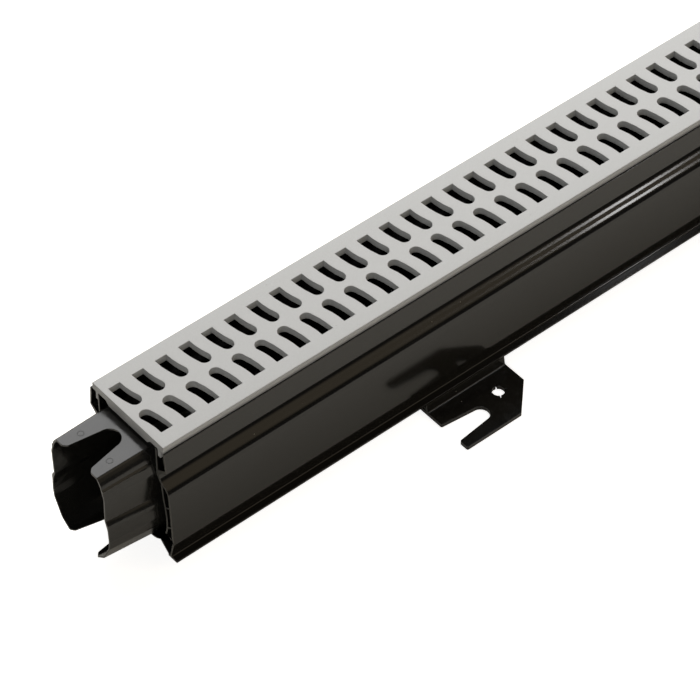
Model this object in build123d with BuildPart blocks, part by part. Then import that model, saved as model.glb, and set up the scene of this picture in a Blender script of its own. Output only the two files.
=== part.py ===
from build123d import *
import math
import os

# Narrow channel drain: one stick of twin-wall extruded channel with its snap-in slotted grate,
# a coupling sleeve pushed half way into the near end, and two anchor brackets slid on under it.
# X runs along the channel from its near end, Y across it and Z up. The origin lies on the
# ground, under the middle of that end, and the brackets stand on the ground.
# Heights of the channel and the sleeve are counted up from the channel's base, and drops are
# counted down from the seat, where the grate lies.

# Channel, along
channel_length = 914.4
end_overhang = 0.8
base = 9.2

# Channel, inside
skin = 1.3
web = 1.1
inner_half = 27.6
seat_height = 93.2
neck_drop = 23.4
flare_half = 31.4
flare_drop = 29.9
belly_half = 34.9
belly_height = 29.8
floor_half = 17.2
floor_height = 5.0
floor_rise = 0.9
bowl_half = 27.0
bowl_height = 10.0
side_half = 32.4
side_height = 51.3

# Channel, outside
flange_half = 43.6
flange_thickness = 1.6
root_half = 38.0
heel_half = 41.3
heel_height = 15.4
shoulder_half = 39.0
shoulder_drop = 32.7
neck_half = 30.8
neck_low_drop = 26.8
neck_high_drop = 21.6
lip_foot_half = 37.7
lip_foot_drop = 15.3
lip_top_half = 36.4
lip_rise = 0.8
lip_thickness = 1.2
slot_floor_drop = 18.6
barb_drop = 4.4
barb_reach = 0.5

# Webs between the two skins, as (half width, height) at the inner and the outer skin
webs = [
    ((34.5, 44.1), (40.4, 48.3)),
    ((35.4, 26.8), (40.6, 30.1)),
    ((34.0, 18.4), (41.0, 18.4)),
    ((27.0, 9.8), (36.4, 1.0)),
]
foot_inner_half = 35.0

# Grate
grate_width = 70.0
grate_thickness = 5.4
grate_edge = 0.5
slot_pitch = 17.856
slot_width = 8.6
slot_end = 24.2
slot_tip = 2.8
slot_radius = 56.0
slot_lead = 1.5
slot_margin = 9.0
leg_clearance = 0.3
leg_thickness = 2.6
hook_depth = 1.5
hook_height = 0.7
hook_inset = 12.0
end_rib_half = 22.0
end_rib_depth = 3.0
end_rib_thickness = 3.0

# Coupling sleeve
sleeve_length = 76.6
sleeve_wall = 1.3
sleeve_guide = 0.3
notch_mouth_half = 12.0
notch_half = 7.7
notch_depth = 32.2
notch_height = 30.0
notch_overrun = 1.0
tip_chamfer = 2.4

# Anchor brackets
bracket_length = 66.6
bracket_start = 203.3
bracket_play = 0.2
plate_thickness = 3.2
plate_reach = 83.3
plate_corner = 20.5
plate_rounding = 1.2
rail_wall = 1.4
rail_lean = 1.0
shelf_half = 36.4
claw_wall = 2.0
claw_reach = 2.8
crease_radius = 1.0
stake_slot_offset = 67.0
stake_slot_mouth = 17.8
stake_slot_width = 12.4
stake_slot_depth = 31.6
nail_hole_diameter = 8.4
nail_hole_inset = 47.4
nail_hole_offset = 59.5
nail_slit_width = 1.4
nail_slit_span = 12.4
nail_slit_angle = -24.0

grate_length = channel_length - 2 * end_overhang
seat = base + seat_height
top = seat + grate_thickness
bracket_starts = {
    "anchor_bracket_1": bracket_start,
    "anchor_bracket_2": channel_length - bracket_start - bracket_length,
}

os.makedirs("parts", exist_ok=True)


def both_sides(half_outline):
    """A closed section from its right-hand outline and that outline's mirror image."""
    with BuildSketch() as whole:
        add(half_outline)
        mirror(half_outline, about=Plane.YZ)
        make_face()
    return whole.sketch


# Channel body. The outer outline goes from the base round the foot flange, up the side wall,
# in at the neck, out under the lip, over the barb and round the slot for the grate's leg.
lip_inner = lip_top_half - lip_thickness
inner_wall_back = inner_half + skin
with BuildLine() as outer_half:
    Polyline((0, base), (flange_half, base), (flange_half, base + flange_thickness))
    FilletPolyline(
        (flange_half, base + flange_thickness),
        (root_half, base + flange_thickness),
        (heel_half, base + heel_height),
        (shoulder_half, seat - shoulder_drop),
        (neck_half, seat - neck_low_drop),
        (neck_half, seat - neck_high_drop),
        (lip_foot_half, seat - lip_foot_drop),
        (lip_top_half, seat + lip_rise),
        radius=[0.9, 1.2, 9.5, 4.5, 0.6, 0.5],
    )
    Polyline(
        (lip_top_half, seat + lip_rise),
        (lip_inner, seat + lip_rise),
        (lip_inner, seat - barb_drop + 2 * barb_reach),
        (lip_inner - barb_reach, seat - barb_drop),
        (lip_inner, seat - barb_drop),
        (lip_foot_half - lip_thickness, seat - lip_foot_drop + skin),
        (inner_wall_back, seat - slot_floor_drop),
        (inner_wall_back, seat),
        (0, seat),
    )

# The waterway is a rounded bowl that narrows to the upright walls under the grate.
belly = (belly_half, base + belly_height)
floor_end = (floor_half, base + floor_height + floor_rise)
with BuildLine() as waterway_half:
    Line((0, base + floor_height), floor_end)
    TangentArc(belly, (bowl_half, base + bowl_height), tangent=(0, -1))
    TangentArc((bowl_half, base + bowl_height), floor_end, tangent=waterway_half.edges()[-1] % 1)
    TangentArc(belly, (side_half, base + side_height), tangent=(0, 1))
    Polyline(
        (side_half, base + side_height),
        (flare_half, seat - flare_drop),
        (inner_half, seat - neck_drop),
        (inner_half, seat + skin),
        (0, seat + skin),
    )

with BuildLine() as web_lines:
    for inner_end, outer_end in webs:
        Line((inner_end[0], base + inner_end[1]), (outer_end[0], base + outer_end[1]))
        Line((-inner_end[0], base + inner_end[1]), (-outer_end[0], base + outer_end[1]))

outer_section = both_sides(outer_half.line)
waterway_section = both_sides(waterway_half.line)

# Between the two skins the webs leave open cells, which end below the neck. Under the bowl there
# is no outer skin: the lowest webs stand on the two feet, and the space between them is open.
with BuildSketch() as cells:
    add(outer_section)
    offset(amount=-skin)
    with Locations((0, base)):
        Rectangle(2 * foot_inner_half, 3 * skin)
    offset(waterway_section, amount=skin, mode=Mode.SUBTRACT)
    trace(web_lines.line, line_width=web, mode=Mode.SUBTRACT)
    with Locations((0, seat - flare_drop)):
        Rectangle(3 * flange_half, seat_height, align=(Align.CENTER, Align.MIN), mode=Mode.SUBTRACT)

with BuildSketch() as body_section:
    add(outer_section)
    add(waterway_section, mode=Mode.SUBTRACT)
    add(cells.sketch, mode=Mode.SUBTRACT)

with BuildPart() as channel_body:
    with BuildSketch(Plane.YZ):
        add(body_section.sketch)
    extrude(amount=channel_length)

channel_body.part.label = "channel_body"
export_step(channel_body.part, "parts/channel_body.step")


# Grate. One slot is an arc with a square outer end and a round inner end. A second slot,
# turned half a turn, makes the pair that repeats along the grate.
slot_turn = math.degrees(math.asin((slot_end - slot_tip - slot_width / 2) / slot_radius))
slot_overrun = math.degrees(slot_width / slot_radius)
slot_count = int((grate_length - 2 * slot_margin) / slot_pitch) + 1

with BuildLine() as slot_path:
    CenterArc((slot_lead - slot_radius, -slot_end), slot_radius, -slot_overrun, slot_overrun + slot_turn)

with BuildSketch() as slot:
    SlotArc(slot_path.line.edge(), slot_width)
    with Locations((0, -slot_end)):
        Rectangle(4 * slot_width, slot_end, align=(Align.CENTER, Align.MIN), mode=Mode.INTERSECT)

leg_inner = inner_wall_back + leg_clearance
leg_outer = leg_inner + leg_thickness
hook_half = lip_inner - leg_clearance
hook_top = seat - barb_drop - leg_clearance
leg_bottom = hook_top - hook_depth
with BuildLine() as leg_outline:
    Polyline((leg_inner, seat), (leg_inner, leg_bottom), (leg_outer, leg_bottom), (leg_outer, seat), close=True)

# The hook runs along the leg's outer side and stops short of the grate's ends.
with BuildLine() as hook_outline:
    Polyline(
        (leg_outer, leg_bottom),
        (leg_outer + hook_height, leg_bottom),
        (hook_half, hook_top - hook_height),
        (hook_half, hook_top),
        (leg_outer, hook_top),
        close=True,
    )

grate_start = Plane.YZ.offset(end_overhang)
with BuildPart() as grate:
    with BuildSketch(grate_start):
        with Locations((0, top)):
            Rectangle(grate_width, grate_thickness, align=(Align.CENTER, Align.MAX))
    extrude(amount=grate_length)
    fillet(grate.edges().group_by(Axis.Z)[-1].filter_by(Axis.X), grate_edge)
    for outline, outline_inset in ((leg_outline, 0), (hook_outline, hook_inset)):
        with BuildSketch(grate_start.offset(outline_inset)):
            add(outline.line)
            make_face()
            mirror(about=Plane.YZ)
        extrude(amount=grate_length - 2 * outline_inset)
    for rib_start in (0, grate_length - end_rib_thickness):
        with BuildSketch(grate_start.offset(rib_start)):
            with Locations((0, seat)):
                Trapezoid(2 * end_rib_half, end_rib_depth, 45, rotation=180, align=(Align.CENTER, Align.MIN))
        extrude(amount=end_rib_thickness)
    with BuildSketch(Plane.XY.offset(top)):
        with Locations((channel_length / 2, 0)):
            with GridLocations(slot_pitch, 0, slot_count, 1):
                add(slot.sketch)
                add(slot.sketch, rotation=180)
    extrude(amount=-grate_thickness, mode=Mode.SUBTRACT)

grate.part.label = "grate"
export_step(grate.part, "parts/grate.step")


# Coupling sleeve. Each row gives one corner of the half section: its half width and height at
# the middle of the sleeve, the same at its tips, and the radius that rounds it. The upper
# corners follow the seat and the lower ones the base. The bead is only on the outside.
guide_half = inner_half - sleeve_guide
shoulder_corners = [
    ((21.2, seat - 5.0), (20.7, seat - 5.9), 2.4),
    ((24.9, seat - 11.4), (24.1, seat - 11.8), 0),
]
bead_corners = [
    ((25.2, seat - 13.2), (24.5, seat - 13.2), 0),
    ((26.4, seat - 14.6), (25.7, seat - 14.3), 0),
    ((26.1, seat - 16.4), (25.4, seat - 16.0), 0),
]
wall_corners = [
    ((guide_half, seat - 23.0), (guide_half - 0.6, seat - 21.0), 0),
    ((26.8, base + 48.8), (26.1, base + 52.4), 0),
    ((29.9, base + 42.2), (28.4, base + 45.4), 0),
    ((30.7, base + 33.8), (28.9, base + 36.0), 6.0),
    ((30.4, base + 26.2), (28.3, base + 28.6), 5.0),
    ((23.4, base + 11.5), (21.7, base + 14.4), 8.0),
    ((15.6, base + 6.8), (14.2, base + 8.5), 5.0),
]
sleeve_top = (seat - 4.8, seat - 5.8)
sleeve_bottom = (base + 5.8, base + 7.2)
outer_corners = shoulder_corners + bead_corners + wall_corners
inner_corners = [(middle, at_tips, 0) for middle, at_tips, radius in shoulder_corners + wall_corners]


def inset(points, distance):
    """The inner corners of a run, set in to its right. The outermost two only give directions."""
    moved = []
    for before, corner, after in zip(points, points[1:], points[2:]):
        first = (corner - before).normalized()
        second = (after - corner).normalized()
        bisector = (first + second).normalized()
        normal = Vector(bisector.Y, -bisector.X)
        moved.append(corner + normal * (distance / normal.dot(Vector(first.Y, -first.X))))
    return moved


def sleeve_section(rows, at_tip, depth):
    """The sleeve's closed section at its middle or its tip, set in by a depth."""
    which = 1 if at_tip else 0
    corners = [Vector(*row[which]) for row in rows]
    above = [Vector(-corners[0].X, corners[0].Y), Vector(0, sleeve_top[which])]
    below = [Vector(0, sleeve_bottom[which]), Vector(-corners[-1].X, corners[-1].Y)]
    with BuildLine() as half:
        FilletPolyline(*inset(above + corners + below, depth), radius=[row[2] for row in rows])
    return both_sides(half.line)


def notch_half_width(distance):
    """Half width of the notch's straight sides, at a distance in from the tip."""
    straight = notch_depth - notch_half
    return notch_mouth_half - (notch_mouth_half - notch_half) * distance / straight


tip = sleeve_length / 2
notch_centre = tip - (notch_depth - notch_half)
with BuildSketch() as notch:
    with BuildLine():
        Polyline(
            (-tip - notch_overrun, notch_half_width(-notch_overrun)),
            (-notch_centre, notch_half),
            (-notch_centre, -notch_half),
            (-tip - notch_overrun, -notch_half_width(-notch_overrun)),
            close=True,
        )
    make_face()
    with Locations((-notch_centre, 0)):
        Circle(notch_half)

with BuildPart() as coupling_sleeve:
    for place, at_tip in ((-tip, True), (0, False), (tip, True)):
        with BuildSketch(Plane.YZ.offset(place)):
            add(sleeve_section(outer_corners, at_tip, 0))
    loft(ruled=True)
    for place, at_tip in ((-tip, True), (0, False), (tip, True)):
        with BuildSketch(Plane.YZ.offset(place)):
            add(sleeve_section(inner_corners, at_tip, sleeve_wall))
    loft(ruled=True, mode=Mode.SUBTRACT)
    for notch_floor in (base - notch_height / 2, top - notch_height):
        with BuildSketch(Plane.XY.offset(notch_floor)):
            add(notch.sketch)
            add(notch.sketch, rotation=180)
        extrude(amount=notch_height, mode=Mode.SUBTRACT)
    upright = coupling_sleeve.edges().filter_by(Axis.Z).group_by(Axis.X)
    chamfer(upright[0] + upright[-1], tip_chamfer)

coupling_sleeve.part.label = "coupling_sleeve"
export_step(coupling_sleeve.part, "parts/coupling_sleeve.step")


# Anchor bracket. A plate with an open stake slot and a star-shaped nail hole carries two hollow
# rails under the foot flanges. The far rail has a claw over its flange.
shelf_top = base - bracket_play
claw_inner = flange_half + bracket_play
claw_outer = claw_inner + claw_wall
claw_low = base + flange_thickness + bracket_play

with BuildSketch() as rail:
    with BuildLine():
        Polyline(
            (flange_half, shelf_top),
            (flange_half + rail_lean, plate_thickness),
            (flange_half + rail_lean - rail_wall, plate_thickness),
            (shelf_half, shelf_top - rail_wall),
            (shelf_half, shelf_top),
            close=True,
        )
    make_face()
    offset(amount=-rail_wall, mode=Mode.SUBTRACT)

with BuildLine() as claw:
    Polyline(
        (flange_half, plate_thickness),
        (claw_outer, plate_thickness),
        (claw_outer, claw_low + claw_wall),
        (claw_inner - claw_reach, claw_low + claw_wall),
        (claw_inner - claw_reach, claw_low),
        (claw_inner, claw_low),
        (claw_inner, shelf_top),
        (flange_half, shelf_top),
        close=True,
    )

with BuildSketch() as bracket_section:
    with Locations((-plate_reach, 0)):
        Rectangle(plate_reach + claw_outer, plate_thickness, align=(Align.MIN, Align.MIN))
    add(rail.sketch)
    mirror(rail.sketch, about=Plane.YZ)
    add(claw.line)
    make_face()
    fillet(bracket_section.vertices().group_by(Axis.Y)[1].sort_by(Axis.X)[1], crease_radius)

# The slot is wider at its mouth, and its end is round.
slot_straight = stake_slot_depth - stake_slot_width / 2
with BuildSketch() as stake_slot:
    with BuildLine():
        Polyline(
            (0, stake_slot_mouth / 2),
            (slot_straight, stake_slot_width / 2),
            (slot_straight, -stake_slot_width / 2),
            (0, -stake_slot_mouth / 2),
            close=True,
        )
    make_face()
    with Locations((slot_straight, 0)):
        Circle(stake_slot_width / 2)

with BuildSketch() as nail_hole:
    Circle(nail_hole_diameter / 2)
    Rectangle(nail_slit_span, nail_slit_width, rotation=nail_slit_angle)
    Rectangle(nail_slit_width, nail_slit_span, rotation=nail_slit_angle)

with BuildLine() as cut_corner:
    Polyline((0, 0), (-plate_corner, 0), (0, plate_corner), close=True)

for name, start in bracket_starts.items():
    with BuildPart() as bracket:
        with BuildSketch(Plane.YZ.offset(start)):
            add(bracket_section.sketch)
        extrude(amount=bracket_length)
        with BuildSketch():
            with Locations((start, -stake_slot_offset)):
                add(stake_slot.sketch)
            with Locations((start + nail_hole_inset, -nail_hole_offset)):
                add(nail_hole.sketch)
            with Locations((start + bracket_length, -plate_reach)):
                add(make_face(cut_corner.edges(), mode=Mode.PRIVATE))
        extrude(amount=plate_thickness, mode=Mode.SUBTRACT)
        mouth = bracket.edges().filter_by(Axis.Z).group_by(Axis.X)[0].sort_by(Axis.Y)
        fillet(mouth[:3], plate_rounding)
    bracket.part.label = name
    export_step(bracket.part, f"parts/{name}.step")
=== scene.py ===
# %% [markdown]
# This scene dresses one stick of narrow channel drain: a black twin-wall channel with a grey
# slotted grate snapped into it, a coupling sleeve half way into its near end, and two anchor
# brackets that slide along its foot. The CAD model gives every shape and place. Here each
# piece gets its softened edges, its small moulding details and its plastic. The first step
# loads that model, and a helper reads the box of a piece.

import math

import bmesh
import bpy
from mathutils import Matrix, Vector


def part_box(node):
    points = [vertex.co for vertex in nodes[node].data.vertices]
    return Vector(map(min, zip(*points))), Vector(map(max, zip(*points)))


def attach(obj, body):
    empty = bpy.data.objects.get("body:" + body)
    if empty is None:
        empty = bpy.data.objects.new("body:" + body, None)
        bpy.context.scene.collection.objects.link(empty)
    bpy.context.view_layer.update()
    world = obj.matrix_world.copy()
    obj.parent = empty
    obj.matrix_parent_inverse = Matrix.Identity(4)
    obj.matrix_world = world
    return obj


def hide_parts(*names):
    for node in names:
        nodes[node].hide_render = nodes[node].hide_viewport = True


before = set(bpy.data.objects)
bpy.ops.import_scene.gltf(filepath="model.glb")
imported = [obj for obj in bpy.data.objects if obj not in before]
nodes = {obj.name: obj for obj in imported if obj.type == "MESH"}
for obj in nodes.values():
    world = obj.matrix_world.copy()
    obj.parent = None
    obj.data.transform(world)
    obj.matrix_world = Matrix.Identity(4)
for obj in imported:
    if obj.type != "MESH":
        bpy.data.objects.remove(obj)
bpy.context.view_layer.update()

# %% [markdown]
# Blender counts in metres and a moulding is thought of in millimetres, so one factor turns
# one into the other. The pieces' own sizes are worth a look before anything is made for them.

# %% Read the frame
MM = 0.001
for name in sorted(nodes):
    low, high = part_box(name)
    print(name, [round((b - a) / MM, 1) for a, b in zip(low, high)], "mm")

# %% [markdown]
# Plastics differ less in colour than in how they take light. All four here share one kind of
# node tree: a Principled shader with the refraction of polypropylene. The textures could be
# placed by UVs, but these pieces have none, and generated coordinates would stretch a grain
# along a stick almost a metre long. So the helper gives the object's own coordinates in
# millimetres, where a grain keeps its real size.

# %% A plastic, placed in millimetres
plastic_ior = 1.49


def plastic(name, colour, roughness):
    """A new material with its Principled shader and its object coordinates in millimetres."""
    material = bpy.data.materials.new(name)
    material.use_nodes = True
    tree = material.node_tree
    shader = tree.nodes["Principled BSDF"]
    shader.inputs["Base Color"].default_value = (*colour, 1)
    shader.inputs["Roughness"].default_value = roughness
    shader.inputs["IOR"].default_value = plastic_ior
    place = tree.nodes.new("ShaderNodeTexCoord")
    scale = tree.nodes.new("ShaderNodeVectorMath")
    scale.operation = "SCALE"
    scale.inputs["Scale"].default_value = 1 / MM
    tree.links.new(place.outputs["Object"], scale.inputs[0])
    return material, tree, shader, scale.outputs[0]


print("refraction of the plastics:", plastic_ior)

# %% [markdown]
# A finish is then built from three moves: a noise, a ramp that turns part of the noise's range
# into a colour or a gloss, and a bump that tilts the light by it.

# %% Noise, ramp and bump


def noise(tree, coordinates, scale, detail=2, roughness=0.5):
    """A grey noise whose scale counts features in a millimetre."""
    node = tree.nodes.new("ShaderNodeTexNoise")
    node.inputs["Scale"].default_value = scale
    node.inputs["Detail"].default_value = detail
    node.inputs["Roughness"].default_value = roughness
    tree.links.new(coordinates, node.inputs["Vector"])
    return node.outputs["Fac"]


def ramp(tree, value, *stops):
    """A colour ramp from (position, grey or colour) stops."""
    node = tree.nodes.new("ShaderNodeValToRGB")
    elements = node.color_ramp.elements
    while len(elements) < len(stops):
        elements.new(0.5)
    for element, (position, colour) in zip(elements, stops):
        element.position = position
        element.color = (*colour, 1) if isinstance(colour, tuple) else (colour, colour, colour, 1)
    tree.links.new(value, node.inputs["Fac"])
    return node.outputs["Color"]


def bump(tree, shader, height, strength, distance):
    """Bump from a height, as deep as that distance in millimetres."""
    node = tree.nodes.new("ShaderNodeBump")
    node.inputs["Strength"].default_value = strength
    node.inputs["Distance"].default_value = distance * MM
    tree.links.new(height, node.inputs["Height"])
    tree.links.new(node.outputs["Normal"], shader.inputs["Normal"])


print("noise, ramp and bump are ready")

# %% [markdown]
# Dust and grit come as separate points, and a noise can't give those. A Voronoi texture puts
# one point in each cell of a grid, and each cell has a random colour. A ramp on the distance
# makes the point a speck, and a ramp on the colour keeps only a share of the cells.

# %% Specks, and a blend of two colours
soft_step = 0.02


def specks(tree, coordinates, spacing, radius, share):
    """Sparse specks, at most one for each cell of that spacing in millimetres: 1 on, 0 off."""
    cells = tree.nodes.new("ShaderNodeTexVoronoi")
    cells.inputs["Scale"].default_value = 1 / spacing
    tree.links.new(coordinates, cells.inputs["Vector"])
    size = radius / spacing
    near = ramp(tree, cells.outputs["Distance"], (0.5 * size, 1), (size, 0))
    kept = ramp(tree, cells.outputs["Color"], (share, 1), (share + soft_step, 0))
    both = tree.nodes.new("ShaderNodeMath")
    both.operation = "MULTIPLY"
    tree.links.new(near, both.inputs[0])
    tree.links.new(kept, both.inputs[1])
    return both.outputs[0]


def blended(tree, factor, first, second):
    """A colour between two, each a colour or a socket."""
    node = tree.nodes.new("ShaderNodeMix")
    node.data_type = "RGBA"
    tree.links.new(factor, node.inputs["Factor"])
    for value, socket in ((first, node.inputs[6]), (second, node.inputs[7])):
        if isinstance(value, tuple):
            socket.default_value = (*value, 1)
        else:
            tree.links.new(value, socket)
    return node.outputs[2]


print("specks and blended are ready")

# %% [markdown]
# The grate is moulded in a grey plastic with a fine matte grain. Close up it isn't one grey:
# pale and dark specks of pigment sit side by side, and the sheen is very low. Grit caught in
# the grain leaves a few darker points.

# %% Grate plastic
grit_colour = (0.33, 0.32, 0.30)
grate_plastic, tree, shader, mm = plastic("grate_grey_matte", (0.485, 0.485, 0.475), 0.62)
pigment = noise(tree, mm, 2.2, detail=3, roughness=0.6)
grey = ramp(tree, pigment, (0.3, (0.42, 0.42, 0.408)), (0.7, (0.55, 0.55, 0.54)))
grit = specks(tree, mm, 6, 0.45, 0.25)
tree.links.new(blended(tree, grit, grey, grit_colour), shader.inputs["Base Color"])
bump(tree, shader, noise(tree, mm, 3.5), 0.25, 0.05)
print(grate_plastic.name, len(tree.nodes), "nodes")

# %% [markdown]
# The channel is extruded in black plastic. The die draws faint lines along it, so the noise
# is stretched a long way along X, and the gloss changes slowly from line to line. Handling
# leaves pale dust specks and a few long scuffs that take the gloss off.

# %% Channel plastic


def stretched(tree, millimetres, factors):
    """The same coordinates, multiplied along each axis."""
    node = tree.nodes.new("ShaderNodeVectorMath")
    node.operation = "MULTIPLY"
    node.inputs[1].default_value = factors
    tree.links.new(millimetres, node.inputs[0])
    return node.outputs[0]


channel_plastic, tree, shader, mm = plastic("channel_black_satin", (0.008, 0.0075, 0.006), 0.16)
die_lines = noise(tree, stretched(tree, mm, (0.004, 1, 1)), 0.9, detail=4, roughness=0.6)
scuffs = noise(tree, stretched(tree, mm, (0.03, 0.5, 0.5)), 0.35, detail=6, roughness=0.75)
haze = ramp(tree, scuffs, (0.58, (0.006, 0.0055, 0.0045)), (0.78, (0.02, 0.019, 0.016)))
dust = specks(tree, mm, 9, 0.5, 0.35)
dusty = blended(tree, dust, haze, (0.16, 0.15, 0.125))
gloss = ramp(tree, die_lines, (0.3, 0.09), (0.7, 0.15))
bump(tree, shader, die_lines, 0.12, 0.04)
print(channel_plastic.name, len(tree.nodes), "nodes so far")

# %% [markdown]
# The stick is sawn to length, and a saw leaves the plastic dull and paler on its two ends. A
# second material on the end faces would do, but the rounded edges would show a hard border.
# So the same material looks at its place along the stick: Compare gives 1 between the two cuts
# and 0 in the last quarter of a millimetre, where the sawn colour and roughness take over.

# %% Sawn ends of the channel
saw_depth = 0.25
sawn_colour, sawn_roughness = (0.09, 0.087, 0.078), (0.42, 0.42, 0.42)
stick_low, stick_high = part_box("channel_body")
stick_middle = (stick_low.x + stick_high.x) / 2 / MM
along = tree.nodes.new("ShaderNodeSeparateXYZ")
tree.links.new(mm, along.inputs[0])
between_cuts = tree.nodes.new("ShaderNodeMath")
between_cuts.operation = "COMPARE"
between_cuts.inputs[1].default_value = stick_middle
between_cuts.inputs[2].default_value = stick_middle - saw_depth
tree.links.new(along.outputs["X"], between_cuts.inputs[0])
for sawn, extruded, socket in (
    (sawn_colour, dusty, "Base Color"),
    (sawn_roughness, gloss, "Roughness"),
):
    finish = blended(tree, between_cuts.outputs[0], sawn, extruded)
    tree.links.new(finish, shader.inputs[socket])
print("sawn beyond", round(stick_middle - saw_depth, 2), "mm from the stick's middle")

# %% [markdown]
# The sleeve comes from a polished mould, so it is glossy with only a breath of haze. Its faces
# sink very slightly between the thicker places as the plastic cools, which a slow, wide noise
# gives as a bump, where real dents in the mesh would need far more faces.

# %% Sleeve plastic
sleeve_black = (0.011, 0.0105, 0.009)
sleeve_plastic, tree, shader, mm = plastic("sleeve_black_gloss", sleeve_black, 0.17)
dust = specks(tree, mm, 10, 0.5, 0.3)
dusty = blended(tree, dust, sleeve_black, (0.12, 0.12, 0.11))
gloss = ramp(tree, noise(tree, mm, 0.12, detail=3), (0.35, 0.13), (0.7, 0.24))
tree.links.new(dusty, shader.inputs["Base Color"])
tree.links.new(gloss, shader.inputs["Roughness"])
bump(tree, shader, noise(tree, mm, 0.25), 0.2, 0.2)
print(sleeve_plastic.name, len(tree.nodes), "nodes")

# %% [markdown]
# The brackets have been on the ground. Their black is a little hazy, in smears a few
# millimetres wide, with pale grains of dust.

# %% Bracket plastic
bracket_plastic, tree, shader, mm = plastic("bracket_black", (0.007, 0.007, 0.0065), 0.15)
smears = noise(tree, mm, 0.22, detail=5, roughness=0.7)
haze = ramp(tree, smears, (0.52, (0.004, 0.004, 0.0037)), (0.75, (0.014, 0.0135, 0.012)))
dust = specks(tree, mm, 9, 0.6, 0.3)
dusty = blended(tree, dust, haze, (0.13, 0.125, 0.105))
gloss = ramp(tree, smears, (0.4, 0.10), (0.7, 0.20))
tree.links.new(dusty, shader.inputs["Base Color"])
tree.links.new(gloss, shader.inputs["Roughness"])
bump(tree, shader, noise(tree, mm, 0.4), 0.2, 0.15)
print(bracket_plastic.name, len(tree.nodes), "nodes")

# %% [markdown]
# A CAD solid meets itself in perfectly sharp edges, and a real moulding never does: the mould
# leaves each edge a few tenths of a millimetre round, and that edge catches a line of light.
# So each CAD node's mesh is copied, its doubled points are merged and its flat faces made
# whole, and a Bevel modifier rounds every edge that turns more than 35 degrees. The modifier
# is chosen over bevelled faces in the mesh because its hardened normals keep the flats flat.
# The copy then stands for the node. The grate needs nothing more than that.

# %% Rounded copies of the CAD pieces
doubled, level = 0.005, math.radians(0.5)
crease, rounded_turn = math.radians(26), math.radians(35)
usual_round, grate_round = 0.25, 0.3


def softened(name, node, body, material, edge_round=usual_round, shaping=None):
    """A copy of a CAD node with its edges rounded by edge_round millimetres.
    shaping changes the copy's form before its edges are rounded."""
    cad = nodes[node].data
    mesh = bpy.data.meshes.new(name)
    points = [point.co for point in cad.vertices]
    mesh.from_pydata(points, [], [tuple(face.vertices) for face in cad.polygons])
    shape = bmesh.new()
    shape.from_mesh(mesh)
    bmesh.ops.remove_doubles(shape, verts=shape.verts, dist=doubled * MM)
    bmesh.ops.dissolve_limit(shape, angle_limit=level, verts=shape.verts, edges=shape.edges)
    if shaping:
        shaping(shape)
    for face in shape.faces:
        face.smooth = True
    for edge in shape.edges:
        edge.smooth = edge.calc_face_angle(0) < crease
    shape.to_mesh(mesh)
    shape.free()
    mesh.materials.append(material)
    piece = bpy.data.objects.new(name, mesh)
    bpy.context.scene.collection.objects.link(piece)
    rounding = piece.modifiers.new("rounding", "BEVEL")
    rounding.width = edge_round * MM
    rounding.segments = 2
    rounding.limit_method = "ANGLE"
    rounding.angle_limit = rounded_turn
    rounding.use_clamp_overlap = False
    rounding.harden_normals = True
    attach(piece, body)
    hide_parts(node)
    print(name, len(mesh.polygons), "faces before rounding")
    return piece


softened(
    "grate_moulding", "grate", "channel", grate_plastic,
    edge_round=grate_round,
)

# %% [markdown]
# The bracket's nail hole has two crossed slits that let it give as the nail goes through. They
# are cut by thin blades in the mould. The CAD draws them wide enough to be a clean solid, so
# the copy moves the slits' side points inwards until each slit is less than a millimetre wide.

# %% Slits of the nail hole
hole_inset, hole_side = 47.4, -59.5
slit_turn, slit_reach, on_slit = math.radians(-24), 7, 0.03
slit_half, thin_slit_half = 0.7, 0.42


def thinner_slits(shape):
    """Closes the nail hole's slits towards their middle lines."""
    hole_x = min(vertex.co.x for vertex in shape.verts) / MM + hole_inset
    cosine, sine = math.cos(slit_turn), math.sin(slit_turn)
    moved = 0
    for vertex in shape.verts:
        x, y = vertex.co.x / MM - hole_x, vertex.co.y / MM - hole_side
        if math.hypot(x, y) > slit_reach:
            continue
        along, across = x * cosine + y * sine, y * cosine - x * sine
        if abs(abs(across) - slit_half) < on_slit:
            across = math.copysign(thin_slit_half, across)
        elif abs(abs(along) - slit_half) < on_slit:
            along = math.copysign(thin_slit_half, along)
        else:
            continue
        vertex.co.x = (along * cosine - across * sine + hole_x) * MM
        vertex.co.y = (along * sine + across * cosine + hole_side) * MM
        moved += 1
    print("slit points moved:", moved)


# %% [markdown]
# Both brackets come from one mould, so one loop makes both from their own CAD nodes.

# %% Brackets
for number in (1, 2):
    softened(
        f"bracket_moulding_{number}", f"anchor_bracket_{number}", f"bracket_{number}",
        bracket_plastic, shaping=thinner_slits,
    )

# %% [markdown]
# Under the lip the extrusion is drawn in to a neck, and the hollow there is what the eye reads
# as a dark line along the whole stick. A tight hollow would show the bright floor in its upper
# part. On the real one it is wide and never quite upright where it can be seen. The section's
# points on the CAD's fillet are kept, and each is moved to the same share of a wider arc.

# %% The hollow under the lip
fillet_radius, fillet_centre_height, fillet_foot = 4.52, 77.92, 74.25
fillet_halves, fillet_heights = (30.75, 32.75), (74.2, 78)
hollow_radius, hollow_centre = 10.0, (40.04, 81.22)
hollow_start, hollow_end = math.radians(22), math.radians(54.3)


def fillet_angle(height):
    """How far round the CAD's fillet a point of that height is, from the neck."""
    return math.asin((fillet_centre_height - height) / fillet_radius)


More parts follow.
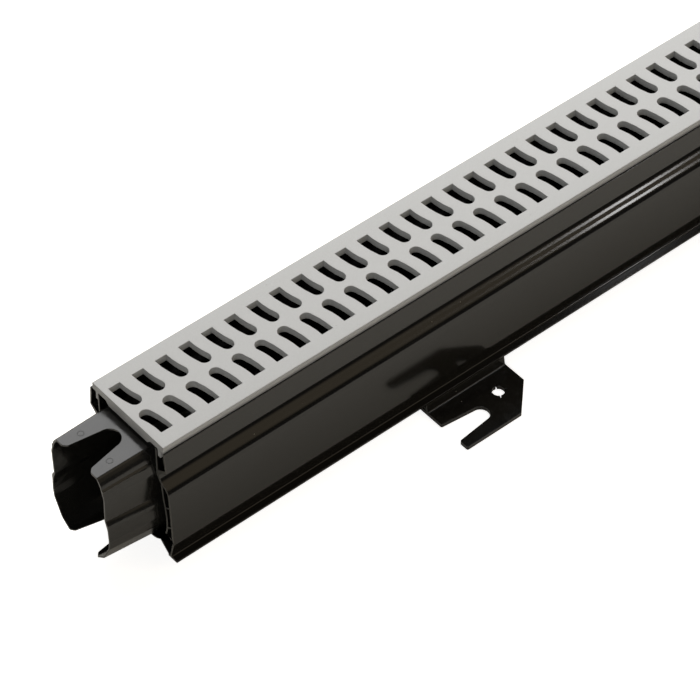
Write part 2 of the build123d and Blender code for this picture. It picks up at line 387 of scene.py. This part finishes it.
def wider_hollow(shape):
    """Moves the section's points at the neck's hollow, on both sides."""
    moved = 0
    for vertex in shape.verts:
        half, height = abs(vertex.co.y) / MM, vertex.co.z / MM
        on_half = fillet_halves[0] < half < fillet_halves[1]
        on_height = fillet_heights[0] < height < fillet_heights[1]
        if on_half and on_height:
            share = fillet_angle(height) / fillet_angle(fillet_foot)
            angle = hollow_start + (hollow_end - hollow_start) * share
            half = hollow_centre[0] - hollow_radius * math.cos(angle)
            vertex.co.y = math.copysign(half * MM, vertex.co.y)
            vertex.co.z = (hollow_centre[1] - hollow_radius * math.sin(angle)) * MM
            moved += 1
    print("channel section points moved:", moved)


softened(
    "channel_extrusion", "channel_body", "channel", channel_plastic,
    shaping=wider_hollow,
)

# %% [markdown]
# The sleeve's side has two strips that are flat in the CAD and round on the real one: the
# shoulder, which turns from brown light to black, and the belly below the waist, which turns
# from black to grey. A subdivision surface would round them, and would also melt the beads
# and notches. So each strip is cut along its length at three heights, and only its new rows
# are pushed out to an arc. The sleeve tapers, so a strip has one line at the sleeve's middle
# and another at its tips, and every height between them is blended.

# %% Round strips on the sleeve's side
sleeve_half_length = 38.3
rows, touching = (0.25, 0.5, 0.75), 1e-6
inner_wall_gap, strip_edge = 0.6, 0.05
# a strip's upper and lower edge: (half width, height) at the sleeve's middle and at its tips
shoulder_strip = {
    "top": ((21.9, 96.2), (21.4, 95.3)), "bottom": ((24.9, 91.0), (24.1, 90.6)), "rise": 0.5,
}
belly_strip = {
    "top": ((26.8, 58.0), (26.1, 61.6)), "bottom": ((29.9, 51.4), (28.4, 54.6)), "rise": 1.0,
}


def between(first, second, share):
    """The point at that share of the way from one (half width, height) to another."""
    return [(1 - share) * a + share * b for a, b in zip(first, second)]


def cut_row(shape, strip, share, end):
    """Cuts one half of the sleeve along the line at that share of the strip's height."""
    middle, tip = (between(strip["top"][k], strip["bottom"][k], share)[1] for k in (0, 1))
    slope = end * (tip - middle) / sleeve_half_length
    faces = [f for f in shape.faces if all(end * v.co.x > -touching for v in f.verts)]
    around = [part for face in faces for part in (*face.edges, *face.verts)]
    bmesh.ops.bisect_plane(
        shape, geom=list(dict.fromkeys(faces + around)), dist=touching,
        plane_co=(0, 0, middle * MM), plane_no=(-slope, 0, 1),
    )


def arched(shape, strip):
    """Cuts three rows into a strip of the sleeve's side and pushes them out to an arc."""
    for end in (-1, 1):
        for share in rows:
            cut_row(shape, strip, share, end)
    moved = 0
    for vertex in shape.verts:
        half, height = abs(vertex.co.y) / MM, vertex.co.z / MM
        along = abs(vertex.co.x) / MM / sleeve_half_length
        top, bottom = between(*strip["top"], along), between(*strip["bottom"], along)
        share = (top[1] - height) / (top[1] - bottom[1])
        outside = half > between(top, bottom, share)[0] - inner_wall_gap
        if strip_edge < share < 1 - strip_edge and outside:
            # a parabola: nothing at the strip's edges, the whole rise half way
            half += strip["rise"] * 4 * share * (1 - share)
            vertex.co.y = math.copysign(half * MM, vertex.co.y)
            moved += 1
    print("strip points pushed out:", moved)


# %% [markdown]
# The prongs' tips are chamfered in the CAD and round on the real one. Their corner edges are
# easy to find: they lie wholly near the sleeve's ends and turn by about 45 degrees. Those
# are bevelled in the mesh itself, wider than the modifier will round the other edges.

# %% Sleeve moulding
prong_start, prong_round = 35, 0.85
corner_turns = (35, 50)


def sleeve_form(shape):
    """The sleeve's round shoulder and belly, and round corners on its prongs."""
    corners = [
        edge for edge in shape.edges
        if all(abs(v.co.x) > prong_start * MM for v in edge.verts)
        and corner_turns[0] < math.degrees(edge.calc_face_angle(0)) < corner_turns[1]
    ]
    bmesh.ops.bevel(
        shape, geom=corners, offset=prong_round * MM, segments=3, profile=0.5, affect="EDGES",
    )
    print("prong corners rounded:", len(corners))
    arched(shape, shoulder_strip)
    arched(shape, belly_strip)


sleeve = softened(
    "sleeve_moulding", "coupling_sleeve", "sleeve", sleeve_plastic,
    shaping=sleeve_form,
)

# %% [markdown]
# The pins that push the sleeve out of its mould leave a faint ring on each side of its top.
# A bump would do for the render, but a form that can be seen should be in the mesh. Each
# ring is a low ridge, made by turning a small section about the pin's axis, and it sits on
# the sleeve where a ray cast straight down meets it.

# %% Ejector rings on the sleeve
pin_radius, ridge_half_width, ridge_height = 2.0, 0.3, 0.12
ring_steps, ridge_steps = 40, 8
pin_inset, pin_side, above_sleeve = -24, 14.3, 200


def ejector_ring(name, x, y):
    """A closed ring, 4.6 mm across, half sunk in the sleeve's top at x, y in millimetres."""
    from_above = Vector((x, y, above_sleeve)) * MM
    _, place, normal, _ = sleeve.ray_cast(from_above, Vector((0, 0, -1)))
    turn = normal.to_track_quat("Z", "Y")
    shape = bmesh.new()
    for ring in range(ring_steps):
        around = 2 * math.pi * ring / ring_steps
        for step in range(ridge_steps):
            tilt = 2 * math.pi * step / ridge_steps
            radius = pin_radius + ridge_half_width * math.cos(tilt)
            height = ridge_height * math.sin(tilt)
            spot = Vector((radius * math.cos(around), radius * math.sin(around), height))
            shape.verts.new(place + turn @ spot * MM)
    shape.verts.ensure_lookup_table()
    for ring in range(ring_steps):
        for step in range(ridge_steps):
            quad = [(ring, step), (ring + 1, step), (ring + 1, step + 1), (ring, step + 1)]
            indices = [(a % ring_steps) * ridge_steps + b % ridge_steps for a, b in quad]
            face = shape.faces.new([shape.verts[index] for index in indices])
            face.smooth = True
    mesh = bpy.data.meshes.new(name)
    shape.to_mesh(mesh)
    shape.free()
    mesh.materials.append(sleeve_plastic)
    piece = bpy.data.objects.new(name, mesh)
    bpy.context.scene.collection.objects.link(piece)
    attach(piece, "sleeve")
    print(name, "at height", round(place.z / MM, 1), "mm")


bpy.context.view_layer.update()
ejector_ring("ejector_ring_left", pin_inset, pin_side)
ejector_ring("ejector_ring_right", pin_inset, -pin_side)

# %% [markdown]
# The studio is a white table. It is the second light of the picture: the black side wall
# mirrors it as a soft grey. The table ends a little in front of the stick, so that a face
# which looks slightly upwards mirrors the dim room beyond it, and turns dark.

# %% Table
table_left, table_right, table_front, table_back = -2.0, 3.0, -0.38, 3.0
floor_mesh = bpy.data.meshes.new("floor")
floor_corners = [
    (table_left, table_front, 0), (table_right, table_front, 0),
    (table_right, table_back, 0), (table_left, table_back, 0),
]
floor_mesh.from_pydata(floor_corners, [], [(0, 1, 2, 3)])
floor = bpy.data.objects.new("floor", floor_mesh)
bpy.context.scene.collection.objects.link(floor)
print("table", table_right - table_left, "by", round(table_back - table_front, 2), "m")

# %% [markdown]
# In a catalogue picture the table is pure white. More lamps would do that and would bleach the
# grate with it. So the table glows, and by Light Path it glows only for rays that come
# straight from the camera, with a little warm glow for rays that a glossy face sends on.

# %% Table's finish
paper_colour, paper_roughness = (0.86, 0.82, 0.74), 0.9
glow_for_camera, glow_for_gloss = 0.85, 0.09
floor_material = bpy.data.materials.new("floor_white")
floor_material.use_nodes = True
floor_mesh.materials.append(floor_material)
tree = floor_material.node_tree
shader = tree.nodes["Principled BSDF"]
shader.inputs["Base Color"].default_value = (*paper_colour, 1)
shader.inputs["Roughness"].default_value = paper_roughness
shader.inputs["Specular IOR Level"].default_value = 0.0
rays = tree.nodes.new("ShaderNodeLightPath")
glow = blended(tree, rays.outputs["Is Camera Ray"], (1, 0.94, 0.82), (1, 1, 1))
tree.links.new(glow, shader.inputs["Emission Color"])
for_gloss = tree.nodes.new("ShaderNodeMath")
for_gloss.operation = "MULTIPLY"
for_gloss.inputs[1].default_value = glow_for_gloss
tree.links.new(rays.outputs["Is Glossy Ray"], for_gloss.inputs[0])
for_camera = tree.nodes.new("ShaderNodeMath")
for_camera.operation = "MULTIPLY_ADD"
for_camera.inputs[1].default_value = glow_for_camera
tree.links.new(rays.outputs["Is Camera Ray"], for_camera.inputs[0])
tree.links.new(for_gloss.outputs[0], for_camera.inputs[2])
tree.links.new(for_camera.outputs[0], shader.inputs["Emission Strength"])
print("glow for the camera", glow_for_camera, "and for gloss", glow_for_gloss)

# %% [markdown]
# The room around the table is dim, and white only where the camera looks straight at it. The
# slope under the channel's lip mirrors one place in it, in front and half way up, and that
# reflection is brown. A tinted plastic would be brown from every side. A warm patch in the
# world tints only what mirrors it: the dot product with one direction is 1 in the patch's
# middle and falls away around it.

# %% Room
warm_direction = Vector((0.44, -0.58, 0.68)).normalized()
world = bpy.data.worlds.new("studio")
bpy.context.scene.world = world
world.use_nodes = True
tree = world.node_tree
rays = tree.nodes.new("ShaderNodeLightPath")
where = tree.nodes.new("ShaderNodeTexCoord")
warm_side = tree.nodes.new("ShaderNodeVectorMath")
warm_side.operation = "DOT_PRODUCT"
warm_side.inputs[1].default_value = warm_direction
tree.links.new(where.outputs["Generated"], warm_side.inputs[0])
room = ramp(
    tree, warm_side.outputs["Value"],
    (0.0, (0.10, 0.10, 0.10)), (0.86, (0.05, 0.048, 0.045)),
    (0.95, (0.55, 0.46, 0.33)), (0.985, (0.6, 0.5, 0.36)),
)
seen = blended(tree, rays.outputs["Is Camera Ray"], room, (1, 1, 1))
tree.links.new(seen, tree.nodes["Background"].inputs["Color"])
print("warm patch towards", [round(value, 2) for value in warm_direction])

# %% [markdown]
# A product on white gets its shape from one big soft light high behind it: it lights the
# grate's top evenly, and glossy black faces that look up show its reflection. A narrow strip
# draws the bright streaks far along the channel's side, and a small weak box in front keeps
# the near end from going black. Area lights are chosen because their edges show in gloss as
# a softbox's do.

# %% Lamps
aim = (0.25, 0.0, 0.05)


def softbox(name, centre, target, width, height, watts):
    """A rectangular area light that faces a point."""
    light = bpy.data.lights.new(name, "AREA")
    light.shape = "RECTANGLE"
    light.size = width
    light.size_y = height
    light.energy = watts
    lamp = bpy.data.objects.new(name, light)
    lamp.location = centre
    lamp.rotation_euler = (Vector(target) - lamp.location).to_track_quat("-Z", "Y").to_euler()
    bpy.context.scene.collection.objects.link(lamp)
    print(name, width, "by", height, "m,", watts, "W")


softbox("key", (0.95, 0.95, 1.35), aim, 2.0, 2.0, 46)
softbox("strip", (1.24, -1.15, 0.92), (1.24, 0, 0.06), 0.09, 0.42, 2.1)
softbox("near_end", (-0.95, -1.1, 0.9), aim, 0.8, 0.8, 4.5)

# %% [markdown]
# The camera stands far off with a long lens, as for a catalogue photograph, and looks down
# at 47 degrees on the near end and the side with the bracket's plate. The shift is half a
# pixel, so that the lens's axis falls on the middle of a pixel and not between four. The view
# transform is Standard, so that a colour comes out about as it is written.

# %% Camera
image_size, half_pixel = 700, 0.5
camera_data = bpy.data.cameras.new("camera")
camera_data.lens = 177.22
camera_data.sensor_width = 36
camera_data.shift_x = -half_pixel / image_size
camera_data.shift_y = half_pixel / image_size
camera_data.clip_end = 20
camera = bpy.data.objects.new("camera", camera_data)
camera.location = (-0.78916, -1.14593, 1.64367)
camera.rotation_euler = [math.radians(angle) for angle in (43.1224, -0.0036, -40.1035)]
bpy.context.scene.collection.objects.link(camera)
bpy.context.scene.camera = camera
bpy.context.scene.view_settings.view_transform = "Standard"
print("lens", round(camera_data.lens, 2), "mm,", round(camera.location.length, 2), "m away")
